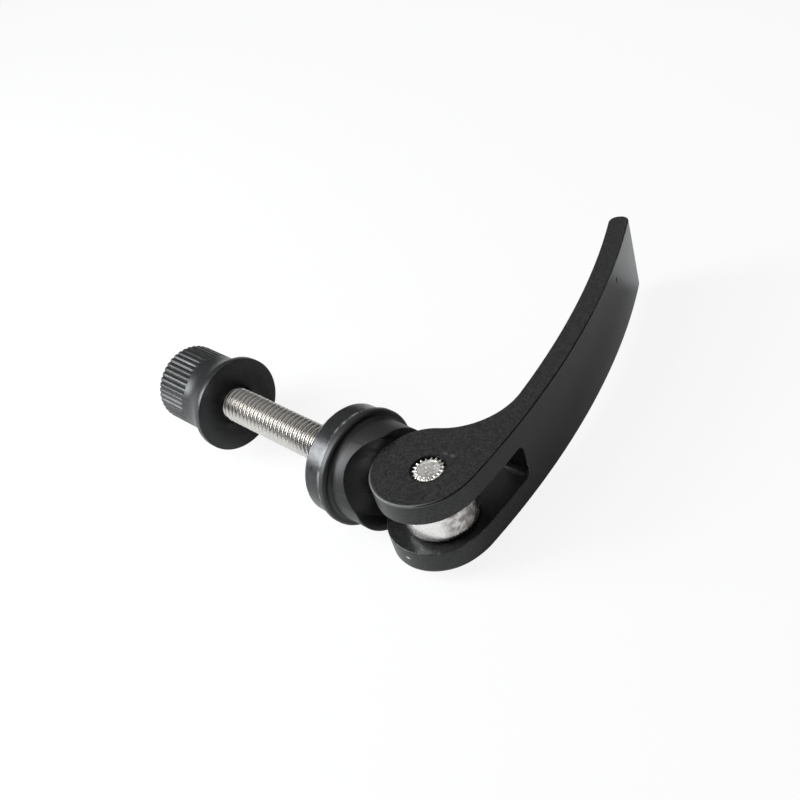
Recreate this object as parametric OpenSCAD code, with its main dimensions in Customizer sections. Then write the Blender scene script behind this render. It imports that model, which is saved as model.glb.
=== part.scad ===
// Cam-lever bolt that closes a bicycle's seatpost clamp.
// The bolt lies along X, the pivot pin stands along Z and the handle runs towards +Y.
// The origin is on the bolt's axis, at the middle of the cup washer's clamping face.

/* [Bolt] */
// Outer diameter of the thread
thread_d = 5.9; // [5:0.1:7.1]
// Length of the bolt on the nut's side of the cup washer's clamping face
thread_reach = 40; // [33:0.5:55]
// Length of the bevel at the thread's end
thread_bevel = 0.8; // [0.3:0.1:1.2]
// Outer diameter of the eye at the other end, which the pin goes through
eye_d = 11.5; // [9.5:0.1:13.8]
// How far each flat side of the eye stands out beyond the thread
eye_swell = 0.05; // [0.02:0.01:0.2]
// Radius round the eye's two edges
eye_edge_r = 1.3; // [0.3:0.1:1.5]

/* [Pivot pin] */
// Diameter of the pin
pin_d = 4.9; // [4:0.1:5.9]
// Number of splines round each end
spline_count = 18; // [12:1:30]
// Depth of a spline
spline_depth = 0.26; // [0.1:0.02:0.3]
// Part of the pin's surface that the grooves between the splines take
spline_share = 0.55; // [0.4:0.05:0.7]
// Length of the splined stretch at each end
spline_len = 2.8; // [1.5:0.1:3.4]

/* [Lever] */
// Width across both ears and the handle
lever_w = 13.6; // [11.3:0.1:16.4]
// Radius of the cam, the round end of each ear
cam_r = 7.95; // [7.2:0.05:9.55]
// Distance of the cam's centre from the pin
cam_offset = 1.1; // [0.8:0.05:1.4]
// Radius of the heel, the flatter arc between the cam and the back
heel_r = 11.5; // [9.6:0.1:13.8]
// Angle from the bolt's line at which the cam passes into the heel
heel_turn = -18; // [-30:1:-8]
// Angle from the bolt's line at which the heel passes into the back
back_turn = 2.9; // [0:0.1:6]
// Radius of the arc along the back of the handle
back_r = 146; // [122:0.5:175]
// Length of the back, from the heel to the tip
handle_len = 64.4; // [53:0.1:78]
// Thickness of the handle
handle_t = 3.4; // [2.8:0.05:4.1]
// Radius of the hollow between the handle and the ears
throat_r = 10.7; // [8.9:0.1:12.9]
// Radius of the tip's two corners
tip_corner_r = 1.5; // [0.3:0.1:1.6]
// Distance from the pin to the bottom of the slot between the ears
slot_depth = 12.8; // [10.6:0.1:15.4]
// Radius of the slot's bottom corners
slot_corner_r = 1.2; // [0.4:0.1:2]

/* [Cup washer] */
// Outer diameter of the cup
cup_d = 17.8; // [14.8:0.1:21.4]
// Length of the cup along the bolt
cup_len = 3.9; // [3.2:0.1:4.7]
// Thickness of the cup's wall
cup_wall = 1; // [0.8:0.05:1.2]
// Thickness of the cup's floor, which presses on the frame's clamp
cup_floor = 1.2; // [0.8:0.05:1.5]
// Radius round the edge of the clamping face
cup_edge_r = 0.5; // [0.2:0.05:0.7]
// Width of the bevel round the open rim
cup_bevel = 0.3; // [0.1:0.05:0.4]

/* [Saddle] */
// How far the saddle's flange stands out beyond the cup
saddle_lip = 0.5; // [0:0.05:1]
// Thickness of the saddle's flange
saddle_flange_t = 1.25; // [0.8:0.05:1.5]
// Width of the flange's face round the boss
saddle_ledge = 1.2; // [0.8:0.05:1.6]
// Radius round the flange's outer edge
saddle_edge_r = 0.5; // [0.2:0.05:0.6]
// Length of the boss beyond the flange
boss_len = 5.2; // [4.8:0.05:6.3]
// Radius of the cove between the boss and the flange
cove_r = 0.5; // [0.2:0.05:0.7]
// Depth of the groove that the cam turns in
groove_depth = 2.6; // [2.1:0.05:3.2]
// Angle round the bolt between the groove and the pin, as the saddle lies
groove_turn = 42; // [-90:1:90]

/* [Nut] */
// Distance between the nut's face and the cup washer, where the clamp goes
grip = 27.6; // [20:0.1:30]
// Length of the nut
nut_len = 13.95; // [11.6:0.05:16.8]
// Diameter over the knurl
knurl_d = 13.4; // [11.2:0.1:15.6]
// Length of the knurl from the outer end
knurl_len = 7.3; // [6.1:0.1:8.2]
// Number of grooves in the knurl
knurl_count = 42; // [30:1:54]
// Depth of a groove in the knurl
knurl_depth = 0.22; // [0.1:0.02:0.4]
// Part of the knurl's surface that its grooves take
knurl_share = 0.5; // [0.3:0.05:0.7]
// Radius round the outer end
nut_edge_r = 0.7; // [0.4:0.1:1.3]
// Diameter of the flange that presses on the frame's clamp
flange_d = 16.3; // [15.7:0.1:19.6]
// Thickness of the flange's rim
flange_t = 1.1; // [0.8:0.1:1.6]
// Length of the flare between the flange and the neck
flare_len = 4.6; // [3.8:0.1:5.2]

/* [Fits] */
// Gap between the thread and each hole that it passes through
thread_clear = 0.06; // [0.04:0.01:0.1]
// Gap between the pin and the eye
pin_clear = 0.05; // [0.03:0.01:0.1]
// Gap between the eye and each ear
ear_clear = 0.05; // [0.03:0.01:0.2]
// Gap round the saddle's plug in the cup
plug_clear = 0.08; // [0.04:0.01:0.1]
// Gap between the cam and the front of the saddle
cam_clear = 0.35; // [0.3:0.05:0.45]
// How much larger the groove's radius is than the cam's
groove_clear = 0.15; // [0.05:0.05:0.3]

/* [Hidden] */
$fn = 96;

// Facets of the cam and the throat, and of the arcs that are much larger than the part
arc_fn = 180;
long_arc_fn = 720;

// How far shapes that are joined lap, and how far a cutter runs past what it cuts
lap = 0.01;
past = 1;

// How far arcs that run into each other reach past touching, so that they meet at a clear point
crossing = 0.01;

// Angle by which an arc of the lever starts or ends inside the web
web_lap = 4;

// The eye is a little thicker than the thread, and fills the slot
eye_t = thread_d + 2 * eye_swell;
slot_w = eye_t + 2 * ear_clear;
bore_d = thread_d + 2 * thread_clear;

// Places along the bolt, from the clamping face towards the pin
flange_top = cup_len + saddle_flange_t;
boss_front = flange_top + boss_len;
pivot_x = boss_front + cam_clear + cam_r + cam_offset;
nut_face = -grip;
nut_end = nut_face - nut_len;

saddle_d = cup_d + 2 * saddle_lip;
boss_d = saddle_d - 2 * saddle_ledge;
plug_d = cup_d - 2 * cup_wall - 2 * plug_clear;
groove_r = cam_r + groove_clear;

// The lever's outline is drawn about the pin.
// The cam, the heel and the back pass into each other smoothly, each arc flatter than the one before.
// The back and the inner side of the handle are arcs about one centre.
cam_at = [-cam_offset, 0];
heel_at = cam_at - polar(heel_r - cam_r + crossing, heel_turn);
back_at = heel_at - polar(back_r - heel_r + crossing, back_turn);
palm_r = back_r - handle_t;
tip_angle = back_turn + handle_len / back_r * 180 / PI;

// The throat's arc touches the cam from outside and the inner side of the handle from within
throat_at = meet(back_at, palm_r - throat_r + crossing, cam_at, cam_r + throat_r - crossing);
throat_start = cam_at + cam_r * toward(cam_at, throat_at);
throat_end = back_at + palm_r * toward(back_at, throat_at);
throat_angle = angle_of(throat_end - back_at);

function toward(a, b) = (b - a) / norm(b - a);
function angle_of(v) = atan2(v[1], v[0]);
function polar(r, a) = r * [cos(a), sin(a)];

// The point that lies r1 from a and r2 from b, on the left of the way from a to b
function meet(a, r1, b, r2) =
    let (d = norm(b - a), u = (b - a) / d, s = (d * d + r1 * r1 - r2 * r2) / (2 * d))
    a + s * u + sqrt(r1 * r1 - s * s) * [-u[1], u[0]];

// Turns what is drawn along Z so that it lies along the bolt
module along_bolt(x = 0) {
    translate([x, 0, 0]) rotate([0, 90, 0]) children();
}

// What rounds off a corner that lies at the origin of the quadrant towards [-1, -1].
// The round reaches past the corner's two sides by over, where one of them is curved.
module corner_cut(r, over = 0) {
    difference() {
        translate([-r, -r]) square(r + past);
        translate([-r, -r]) circle(r + over);
    }
}

// The forged eye: a thick disc with both edges rounded
module eye() {
    rotate_extrude()
    difference() {
        translate([0, -eye_t / 2]) square([eye_d / 2, eye_t]);
        for (side = [0, 1])
            mirror([0, side])
            translate([eye_d / 2, eye_t / 2]) corner_cut(eye_edge_r);
    }
}

module eye_bolt() {
    shank_len = pivot_x + thread_reach;
    color("silver")
    difference() {
        union() {
            translate([pivot_x, 0, 0]) eye();
            along_bolt(thread_bevel - thread_reach) cylinder(d = thread_d, h = shank_len - thread_bevel);
            along_bolt(-thread_reach)
                cylinder(d1 = thread_d - 2 * thread_bevel, d2 = thread_d, h = thread_bevel);
        }
        translate([pivot_x, 0, 0]) cylinder(d = pin_d + 2 * pin_clear, h = eye_t + 2 * past, center = true);
    }
}

module pivot_pin() {
    spline_w = spline_share * PI * pin_d / spline_count;
    color("gainsboro")
    translate([pivot_x, 0, 0])
    difference() {
        cylinder(d = pin_d, h = lever_w, center = true);
        for (end = [0, 1], i = [0:spline_count - 1])
            mirror([0, 0, end])
            rotate([0, 0, i * 360 / spline_count])
            translate([pin_d / 2 - spline_depth, 0, lever_w / 2 - spline_len])
            linear_extrude(height = spline_len + past)
            polygon([[0, 0], [2 * spline_depth, spline_w], [2 * spline_depth, -spline_w]]);
    }
}

// The ring between the back and the inner side of the handle, cut to length.
// It starts a little inside the web, so that the two become one.
module handle_outline() {
    start = throat_angle - web_lap;
    sweep = tip_angle - start;
    far = back_r / cos(sweep / 2) + past;
    difference() {
        intersection() {
            translate(back_at) circle(back_r, $fn = long_arc_fn);
            polygon([
                back_at,
                back_at + polar(far, start),
                back_at + polar(far, start + sweep / 2),
                back_at + polar(far, tip_angle)
            ]);
        }
        translate(back_at) circle(palm_r, $fn = long_arc_fn);
        translate(back_at + polar(back_r, tip_angle))
            rotate(tip_angle) corner_cut(tip_corner_r, crossing);
        translate(back_at + polar(palm_r, tip_angle))
            rotate(tip_angle) mirror([1, 0]) corner_cut(tip_corner_r, crossing);
    }
}

// The wedge that the heel adds to the cam
module heel_outline() {
    sweep = back_turn + web_lap - heel_turn;
    far = heel_r / cos(sweep / 2) + past;
    intersection() {
        translate(heel_at) circle(heel_r, $fn = arc_fn);
        polygon([heel_at, heel_at + polar(far, heel_turn), heel_at + polar(far, heel_turn + sweep)]);
    }
}

// The web that joins the handle to the ears, hollowed by the throat
module web_outline() {
    far = back_r / cos((throat_angle - back_turn) / 2) + past;
    difference() {
        intersection() {
            translate(back_at) circle(back_r, $fn = long_arc_fn);
            polygon([
                throat_start,
                cam_at,
                heel_at,
                back_at + polar(far, back_turn),
                back_at + polar(far, throat_angle),
                throat_end
            ]);
        }
        translate(throat_at) circle(throat_r, $fn = arc_fn);
    }
}

module lever_outline() {
    translate(cam_at) circle(cam_r, $fn = arc_fn);
    heel_outline();
    web_outline();
    handle_outline();
}

// The slot as seen along the bolt, open at the round end
module slot_outline() {
    reach = cam_r + cam_offset + past;
    difference() {
        translate([-reach, -slot_w / 2]) square([reach + slot_depth, slot_w]);
        for (side = [0, 1])
            mirror([0, side])
            translate([slot_depth, slot_w / 2]) corner_cut(slot_corner_r);
    }
}

module lever() {
    wide = 2 * (cam_r + throat_r);
    color([0.12, 0.12, 0.13])
    translate([pivot_x, 0, 0])
    difference() {
        linear_extrude(height = lever_w, center = true) lever_outline();
        rotate([90, 0, 90]) linear_extrude(height = wide, center = true) slot_outline();
        cylinder(d = pin_d, h = lever_w + 2 * past, center = true);
    }
}

module cup_washer() {
    inner_r = cup_d / 2 - cup_wall;
    color([0.2, 0.2, 0.21])
    along_bolt()
    rotate_extrude()
    difference() {
        translate([bore_d / 2, 0]) square([cup_d / 2 - bore_d / 2, cup_len]);
        translate([0, cup_floor]) square([inner_r, cup_len]);
        translate([cup_d / 2, 0]) mirror([0, 1]) corner_cut(cup_edge_r);
        polygon([
            [cup_d / 2 - cup_bevel, cup_len],
            [cup_d / 2 - cup_bevel, cup_len + past],
            [cup_d / 2 + past, cup_len + past],
            [cup_d / 2 + past, cup_len - cup_bevel],
            [cup_d / 2, cup_len - cup_bevel]
        ]);
    }
}

module saddle() {
    plug_start = cup_floor + plug_clear;
    color([0.07, 0.07, 0.07])
    difference() {
        along_bolt()
        rotate_extrude()
        difference() {
            union() {
                translate([0, plug_start]) square([plug_d / 2, cup_len - plug_start + lap]);
                translate([0, cup_len]) square([saddle_d / 2, saddle_flange_t]);
                translate([0, cup_len]) square([boss_d / 2, saddle_flange_t + boss_len]);
                translate([boss_d / 2 - lap, flange_top - lap]) square(cove_r + lap);
            }
            translate([boss_d / 2 + cove_r, flange_top + cove_r]) circle(cove_r);
            translate([saddle_d / 2, flange_top]) corner_cut(saddle_edge_r);
            square([bore_d / 2, boss_front + past]);
        }
        rotate([groove_turn, 0, 0])
        translate([boss_front - groove_depth + groove_r, 0, 0])
        cylinder(r = groove_r, h = saddle_d + 2 * past, center = true);
    }
}

module nut() {
    neck_r = knurl_d / 2;
    rim_r = flange_d / 2;
    flare_rise = rim_r - neck_r;
    flare_arc = (flare_len * flare_len + flare_rise * flare_rise) / (2 * flare_rise);
    groove_w = knurl_share * PI * knurl_d / knurl_count;
    color([0.16, 0.16, 0.17])
    difference() {
        along_bolt(nut_end)
        rotate_extrude()
        difference() {
            translate([bore_d / 2, 0]) square([rim_r - bore_d / 2, nut_len]);
            translate([neck_r, -past]) square([rim_r, nut_len - flange_t - flare_len + past]);
            translate([neck_r + flare_arc, nut_len - flange_t - flare_len]) circle(flare_arc, $fn = arc_fn);
            translate([neck_r, 0]) mirror([0, 1]) corner_cut(nut_edge_r);
        }
        for (i = [0:knurl_count - 1])
            rotate([i * 360 / knurl_count, 0, 0])
            translate([nut_end - past, 0, neck_r - knurl_depth])
            rotate([90, 0, 90])
            linear_extrude(height = knurl_len + past)
            polygon([[0, 0], [groove_w, 2 * knurl_depth], [-groove_w, 2 * knurl_depth]]);
    }
}

eye_bolt();
pivot_pin();
lever();
cup_washer();
saddle();
nut();
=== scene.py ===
# %% [markdown]
# # A cam-lever bolt for a bicycle's seatpost clamp
# A steel bolt passes through the frame's clamp. Its round eye sits between the two ears of a black lever,
# and a pin holds the two together. Turning the lever rolls its round ends in a plastic saddle, which presses
# a metal cup against the clamp, while a knurled nut holds the other side.
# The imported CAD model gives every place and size. This script makes finer surfaces over it.

import math

import bmesh
import bpy
import numpy as np
from mathutils import Matrix, Vector


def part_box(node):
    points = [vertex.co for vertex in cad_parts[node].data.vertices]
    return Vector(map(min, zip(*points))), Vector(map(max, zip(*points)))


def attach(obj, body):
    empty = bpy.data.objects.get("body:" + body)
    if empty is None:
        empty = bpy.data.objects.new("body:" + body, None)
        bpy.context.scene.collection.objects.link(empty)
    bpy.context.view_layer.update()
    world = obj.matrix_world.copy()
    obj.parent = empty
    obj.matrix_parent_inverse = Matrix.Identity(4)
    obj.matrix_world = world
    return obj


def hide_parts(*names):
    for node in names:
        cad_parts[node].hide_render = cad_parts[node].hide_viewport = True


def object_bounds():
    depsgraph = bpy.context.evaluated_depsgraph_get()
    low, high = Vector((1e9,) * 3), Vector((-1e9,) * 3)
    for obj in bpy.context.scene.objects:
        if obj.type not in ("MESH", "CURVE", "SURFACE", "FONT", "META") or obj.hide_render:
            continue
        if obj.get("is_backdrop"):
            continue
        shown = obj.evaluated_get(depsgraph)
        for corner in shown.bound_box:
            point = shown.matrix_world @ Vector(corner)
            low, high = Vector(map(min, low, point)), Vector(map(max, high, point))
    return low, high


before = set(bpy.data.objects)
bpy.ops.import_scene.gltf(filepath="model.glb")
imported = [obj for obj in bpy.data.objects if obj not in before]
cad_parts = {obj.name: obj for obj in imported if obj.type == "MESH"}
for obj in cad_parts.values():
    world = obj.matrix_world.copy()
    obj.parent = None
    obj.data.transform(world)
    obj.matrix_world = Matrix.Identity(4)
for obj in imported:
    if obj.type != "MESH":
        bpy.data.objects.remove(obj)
cad_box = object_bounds()
MM = 0.001
print("CAD nodes:", ", ".join(sorted(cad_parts)))

# %% [markdown]
# ## Main sizes
# The sizes that the pieces share are read from the CAD nodes' boxes, so the surfaces made here can't drift
# from the solids below them. X runs along the bolt, Y towards the handle's tip and Z along the pin.

# %% Read the sizes from the CAD nodes
def span(node):
    """Lowest and highest corner of a CAD node as two arrays, in metres."""
    low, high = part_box(node)
    return np.array(low), np.array(high)


pin_low, pin_high = span("pivot_pin")
bolt_low, bolt_high = span("eye_bolt")
lever_low, lever_high = span("lever")
_, cup_high = span("cup_washer")
saddle_low, saddle_high = span("saddle")
nut_low, nut_high = span("nut")

PIVOT_X = (pin_low[0] + pin_high[0]) / 2
PIN_R = (pin_high[1] - pin_low[1]) / 2
EYE_R = bolt_high[1]
HALF_EYE = bolt_high[2]
HALF_LEVER = lever_high[2]
CAM_R = -lever_low[1]
THREAD_R = 2.95 * MM
BORE_GAP = 0.06 * MM
BORE_R = THREAD_R + BORE_GAP
print("pivot at x", round(PIVOT_X / MM, 2), "mm, eye radius", round(EYE_R / MM, 2), "mm")

# %% [markdown]
# ## The camera
# The photograph looks down on the lever's back from the front right, and the camera is rolled, so the bolt
# runs up to the left. These values come from fitting the outlines of the round parts and the thread's crests.
# The camera is made first, because every later choice is judged through it.

# %% Place the camera
CAMERA_AT = Vector((124.09, -71.71, 119.02)) * MM
CAMERA_AIM = Vector((-1.667, 13.969, 0.0)) * MM
CAMERA_ROLL = math.radians(-19.344)
FOCAL_MM = 54.0
SENSOR_MM = 36.0

camera_data = bpy.data.cameras.new("camera")
camera_data.lens = FOCAL_MM
camera_data.sensor_width = SENSOR_MM
camera_data.sensor_fit = "HORIZONTAL"
camera_data.clip_start = 5 * MM
camera_data.clip_end = 10.0
camera = bpy.data.objects.new("camera", camera_data)
bpy.context.scene.collection.objects.link(camera)
level = (CAMERA_AIM - CAMERA_AT).to_track_quat("-Z", "Y").to_matrix().to_4x4()
camera.matrix_world = Matrix.Translation(CAMERA_AT) @ level @ Matrix.Rotation(CAMERA_ROLL, 4, "Z")
bpy.context.scene.camera = camera
print("camera is", round((CAMERA_AIM - CAMERA_AT).length / MM), "mm from where it aims")

# %% [markdown]
# ## Meshes from arrays
# Turned parts are a profile carried round an axis. Their points form a grid: one row for each profile point,
# one column for each angle. numpy computes the whole grid at once, and the faces follow from row and column
# numbers. Modelling them by hand would give the same shape with less control over its sizes.

# %% Helpers for profiles and grids
# Points nearer than this are the same point, in metres.
DOUBLED = 1e-7


def arc(centre, radius, start, end, count):
    """Points at centre + radius * (cos a, sin a), for angles a from start to end in degrees."""
    a = np.radians(np.linspace(start, end, count))
    return np.array(centre) + radius * np.stack([np.cos(a), np.sin(a)], axis=1)


def circle(centre, radius, count):
    """Points evenly round a circle, the first at angle 0."""
    return arc(centre, radius, 0, 360 - 360 / count, count)


def line(start, end, count):
    """Points spread evenly from start to end."""
    t = np.linspace(0, 1, count)[:, None]
    return (1 - t) * np.array(start) + t * np.array(end)


def path(*stretches):
    """Joins stretches of points end to end, and leaves out a point that repeats the one before it."""
    points = np.concatenate([np.atleast_2d(s) for s in stretches])
    keep = np.append(True, np.linalg.norm(np.diff(points, axis=0), axis=1) > DOUBLED)
    return points[keep]


def grid_faces(rows, columns, closed):
    """Quads between each row and the next, round all columns. If closed, the last row joins the first."""
    r = np.arange(rows if closed else rows - 1)[:, None]
    c = np.arange(columns)[None, :]
    upper = (r + 1) % rows
    right = (c + 1) % columns
    quads = [r * columns + c, r * columns + right, upper * columns + right, upper * columns + c]
    return np.stack(quads, axis=-1).reshape(-1, 4).tolist()


def mesh_piece(name, points, faces, sharp_angle=35):
    """A mesh object from points in metres, with doubled points merged and faces turned outwards."""
    mesh = bpy.data.meshes.new(name)
    mesh.from_pydata(points.reshape(-1, 3).tolist(), [], faces)
    work = bmesh.new()
    work.from_mesh(mesh)
    bmesh.ops.remove_doubles(work, verts=work.verts, dist=DOUBLED)
    bmesh.ops.recalc_face_normals(work, faces=work.faces)
    work.to_mesh(mesh)
    work.free()
    mesh.shade_smooth()
    mesh.set_sharp_from_angle(angle=math.radians(sharp_angle))
    piece = bpy.data.objects.new(name, mesh)
    bpy.context.scene.collection.objects.link(piece)
    return piece


def turned_about_x(profile, angles, depth=None):
    """Grid of (x, r cos a, r sin a) for a profile of (x, r) pairs. If depth is given, r is lessened by
    depth(x, r, a)."""
    x = profile[:, 0][:, None] + 0 * angles[None, :]
    r = profile[:, 1][:, None] + 0 * angles[None, :]
    if depth is not None:
        r = r - depth(x, r, angles[None, :])
    return np.stack([x, r * np.cos(angles), r * np.sin(angles)], axis=-1)


def around(count):
    """Angles in radians, evenly round a circle."""
    return np.linspace(0, 2 * np.pi, count, endpoint=False)


def prism(name, outline, low, high):
    """A flat outline of (a, b) pairs, drawn out from low to high along the third axis."""
    n = len(outline)
    both = [np.column_stack([outline, np.full(n, level)]) for level in (low, high)]
    sides = grid_faces(2, n, closed=False)
    caps = [list(range(n)), list(range(n, 2 * n))]
    return mesh_piece(name, np.concatenate(both), sides + caps)


# %% [markdown]
# ## Joining, cutting and rounding
# A slot or a groove is a Boolean cut. A Bevel modifier then gives every remaining edge a small round, as the
# real edges have, which is what catches a thin line of light. A cut can leave points side by side, where a
# bevel gets ragged, so close points are merged first. The modifiers are applied straight away, so a finished
# piece is a plain mesh at the origin.

# %% Helpers for modifiers
def apply_modifiers(piece):
    """Replaces the piece's mesh with what its modifiers make of it."""
    graph = bpy.context.evaluated_depsgraph_get()
    made = bpy.data.meshes.new_from_object(piece.evaluated_get(graph))
    old = piece.data
    piece.modifiers.clear()
    piece.data = made
    bpy.data.meshes.remove(old)


def combine(piece, operation, other):
    """Joins, cuts or intersects two closed meshes, and removes the second."""
    step = piece.modifiers.new(operation.lower(), "BOOLEAN")
    step.operation = operation
    step.solver = "EXACT"
    step.object = other
    apply_modifiers(piece)
    bpy.data.objects.remove(other)


# After a cut, points nearer than CUT_MERGE are one. FLAT_WEIGHT is how far the large faces lead the normals,
# where 50 is even.
CUT_MERGE = 0.05 * MM
FLAT_WEIGHT = 90


def merge_close(piece):
    """Merges points nearer than CUT_MERGE, which a cut can leave side by side."""
    work = bmesh.new()
    work.from_mesh(piece.data)
    bmesh.ops.remove_doubles(work, verts=work.verts, dist=CUT_MERGE)
    work.to_mesh(piece.data)
    work.free()


def round_edges(piece, width, segments=3, angle=35, flat_faces=True):
    """Rounds each edge that turns by more than angle degrees. If flat_faces, the normals follow the large
    faces, so that these look flat up to the rounding."""
    step = piece.modifiers.new("rounded", "BEVEL")
    step.width = width
    step.segments = segments
    step.limit_method = "ANGLE"
    step.angle_limit = math.radians(angle)
    step.miter_outer = "MITER_ARC"
    step.use_clamp_overlap = False
    apply_modifiers(piece)
    piece.data.shade_smooth()
    if not flat_faces:
        return
    flat = piece.modifiers.new("flat faces", "WEIGHTED_NORMAL")
    flat.weight = FLAT_WEIGHT
    flat.keep_sharp = True
    apply_modifiers(piece)


# %% How tightly an edge turns
# In radians for each millimetre: up to BLUNT_TURN no coat wears off, from TIGHT_TURN on it wears fully.
BLUNT_TURN = 1.0
TIGHT_TURN = 3.3


def note_edges(piece):
    """Stores at each point how tightly the surface turns outwards there, as the attribute "edge" from 0 to
    1. An edge's turn is the angle between its two faces over the mean width of the faces across it."""
    work = bmesh.new()
    work.from_mesh(piece.data)
    tight = np.zeros(len(work.verts))
    for edge in work.edges:
        if len(edge.link_faces) == 2 and edge.is_convex:
            area = sum(face.calc_area() for face in edge.link_faces) / 2
            width = area / max(edge.calc_length(), DOUBLED)
            turn = edge.calc_face_angle(0) / max(width, DOUBLED)
            for vert in edge.verts:
                tight[vert.index] = max(tight[vert.index], turn)
    work.free()
    values = np.clip((tight * MM - BLUNT_TURN) / (TIGHT_TURN - BLUNT_TURN), 0, 1)
    stored = piece.data.attributes.new("edge", "FLOAT", "POINT")
    stored.data.foreach_set("value", values.astype(np.float32))


def finish_piece(piece, body, node, material):
    """Gives a piece its finish and its body, notes its edges, and hides the CAD node that it stands for."""
    note_edges(piece)
    piece.data.materials.clear()
    piece.data.materials.append(material)
    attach(piece, body)
    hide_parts(node)
    piece.data.calc_loop_triangles()
    print(piece.name, len(piece.data.loop_triangles), "triangles")


# %% [markdown]
# ## Shared surface effects
# No real surface is even. Plating and anodising have a fine grain that spreads the light a little, parts that
# were handled carry hairline marks, and a coat wears through along the edges. All three are node groups, so
# that each finish can use them with its own values. They read object coordinates, so the pattern stays on the
# piece when the lever turns.

# %% Node helpers
def new_group(name, inputs, outputs):
    """A shader node group with named float inputs (name, default) and outputs (name, socket type)."""
    tree = bpy.data.node_groups.new(name, "ShaderNodeTree")
    for label, value in inputs:
        socket = tree.interface.new_socket(label, in_out="INPUT", socket_type="NodeSocketFloat")
        socket.default_value = value
    for label, kind in outputs:
        tree.interface.new_socket(label, in_out="OUTPUT", socket_type=kind)
    return tree, tree.nodes.new("NodeGroupInput"), tree.nodes.new("NodeGroupOutput")


def feed(tree, value, socket):
    """Sets a socket to a number, or links another socket to it."""
    if isinstance(value, (int, float)):
        socket.default_value = value
    else:
        tree.links.new(value, socket)


def add_math(tree, operation, first, second=0.0, clamp=False):
    """A Math node. Each operand is a socket or a number."""
    node = tree.nodes.new("ShaderNodeMath")
    node.operation = operation
    node.use_clamp = clamp
    feed(tree, first, node.inputs[0])
    feed(tree, second, node.inputs[1])
    return node.outputs[0]


def product(tree, first, *others):
    """The product of all the factors, each a socket or a number."""
    for factor in others:
        first = add_math(tree, "MULTIPLY", first, factor)
    return first


def add_range(tree, value, low, high, to_low=0.0, to_high=1.0):
    """A Map Range node that runs smoothly from to_low at low to to_high at high."""
    node = tree.nodes.new("ShaderNodeMapRange")
    node.interpolation_type = "SMOOTHSTEP"
    tree.links.new(value, node.inputs["Value"])
    span_ends = (("From Min", low), ("From Max", high), ("To Min", to_low), ("To Max", to_high))
    for label, number in span_ends:
        node.inputs[label].default_value = number
    return node.outputs["Result"]


def add_noise(tree, scale, detail, place=None):
    """A noise over place, or over the point's own place in metres if none is given."""
    node = tree.nodes.new("ShaderNodeTexNoise")
    if place is None:
        place = tree.nodes.new("ShaderNodeTexCoord").outputs["Object"]
    tree.links.new(place, node.inputs["Vector"])
    feed(tree, scale, node.inputs["Scale"])
    node.inputs["Detail"].default_value = detail
    return node.outputs["Fac"]


def add_bump(tree, strength, height, distance):
    """A Bump node that lifts the surface by distance at most, times strength."""
    node = tree.nodes.new("ShaderNodeBump")
    node.inputs["Distance"].default_value = distance
    tree.links.new(strength, node.inputs["Strength"])
    tree.links.new(height, node.inputs["Height"])
    return node


# %% Grain and an uneven coat
# Roughness is the base value plus spread times (noise - 1/2), and the same noise lifts the surface a little.
# A second, larger noise does the same for a coat that isn't quite even, which breaks up the highlights.
# Tone is the fine noise again, stretched to run from 0 to 1, for a colour that varies from grain to grain.
COAT_SCALE = 0.3
COAT_LIFT = 0.08 * MM
GRAIN_LIFT = 0.02 * MM
grain_tree, grain_in, grain_out = new_group(
    "fine_grain",
    [("Scale", 2500.0), ("Roughness", 0.3), ("Spread", 0.1), ("Bump", 0.1), ("Uneven", 0.1)],
    [("Roughness", "NodeSocketFloat"), ("Tone", "NodeSocketFloat"), ("Normal", "NodeSocketVector")],
)
grain = add_noise(grain_tree, grain_in.outputs["Scale"], 4.0)
coat = add_noise(grain_tree, product(grain_tree, grain_in.outputs["Scale"], COAT_SCALE), 2.0)
spread = product(grain_tree, add_math(grain_tree, "SUBTRACT", grain, 0.5), grain_in.outputs["Spread"])
drift = product(grain_tree, add_math(grain_tree, "SUBTRACT", coat, 0.5), grain_in.outputs["Uneven"])
spread = add_math(grain_tree, "ADD", spread, drift)
rough = add_math(grain_tree, "ADD", spread, grain_in.outputs["Roughness"], clamp=True)
waves = add_bump(grain_tree, grain_in.outputs["Uneven"], coat, COAT_LIFT)
bump = add_bump(grain_tree, grain_in.outputs["Bump"], grain, GRAIN_LIFT)
grain_tree.links.new(waves.outputs["Normal"], bump.inputs["Normal"])
grain_tree.links.new(rough, grain_out.inputs["Roughness"])
grain_tree.links.new(add_range(grain_tree, grain, 0.36, 0.64), grain_out.inputs["Tone"])
grain_tree.links.new(bump.outputs["Normal"], grain_out.inputs["Normal"])
print("group", grain_tree.name)

# %% Hairline marks
# Noise stretched 30 times along one direction makes streaks; only its highest peaks count as marks.
STREAK_TURN = (0.3, 0.9, 0.5)
STREAK_SCALE = (1.0, 1.0, 0.033)
mark_tree, mark_in, mark_out = new_group(
    "hairline_marks",
    [("Scale", 600.0), ("Amount", 0.5)],
    [("Mask", "NodeSocketFloat")],
)
place = mark_tree.nodes.new("ShaderNodeTexCoord")
stretch = mark_tree.nodes.new("ShaderNodeMapping")
stretch.inputs["Rotation"].default_value = STREAK_TURN
stretch.inputs["Scale"].default_value = STREAK_SCALE
mark_tree.links.new(place.outputs["Object"], stretch.inputs["Vector"])
streaks = add_noise(mark_tree, mark_in.outputs["Scale"], 2.0, stretch.outputs["Vector"])
peaks = add_range(mark_tree, streaks, 0.66, 0.74)
mask = add_math(mark_tree, "MULTIPLY", peaks, mark_in.outputs["Amount"], clamp=True)
mark_tree.links.new(mask, mark_out.inputs["Mask"])
print("group", mark_tree.name)

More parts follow.
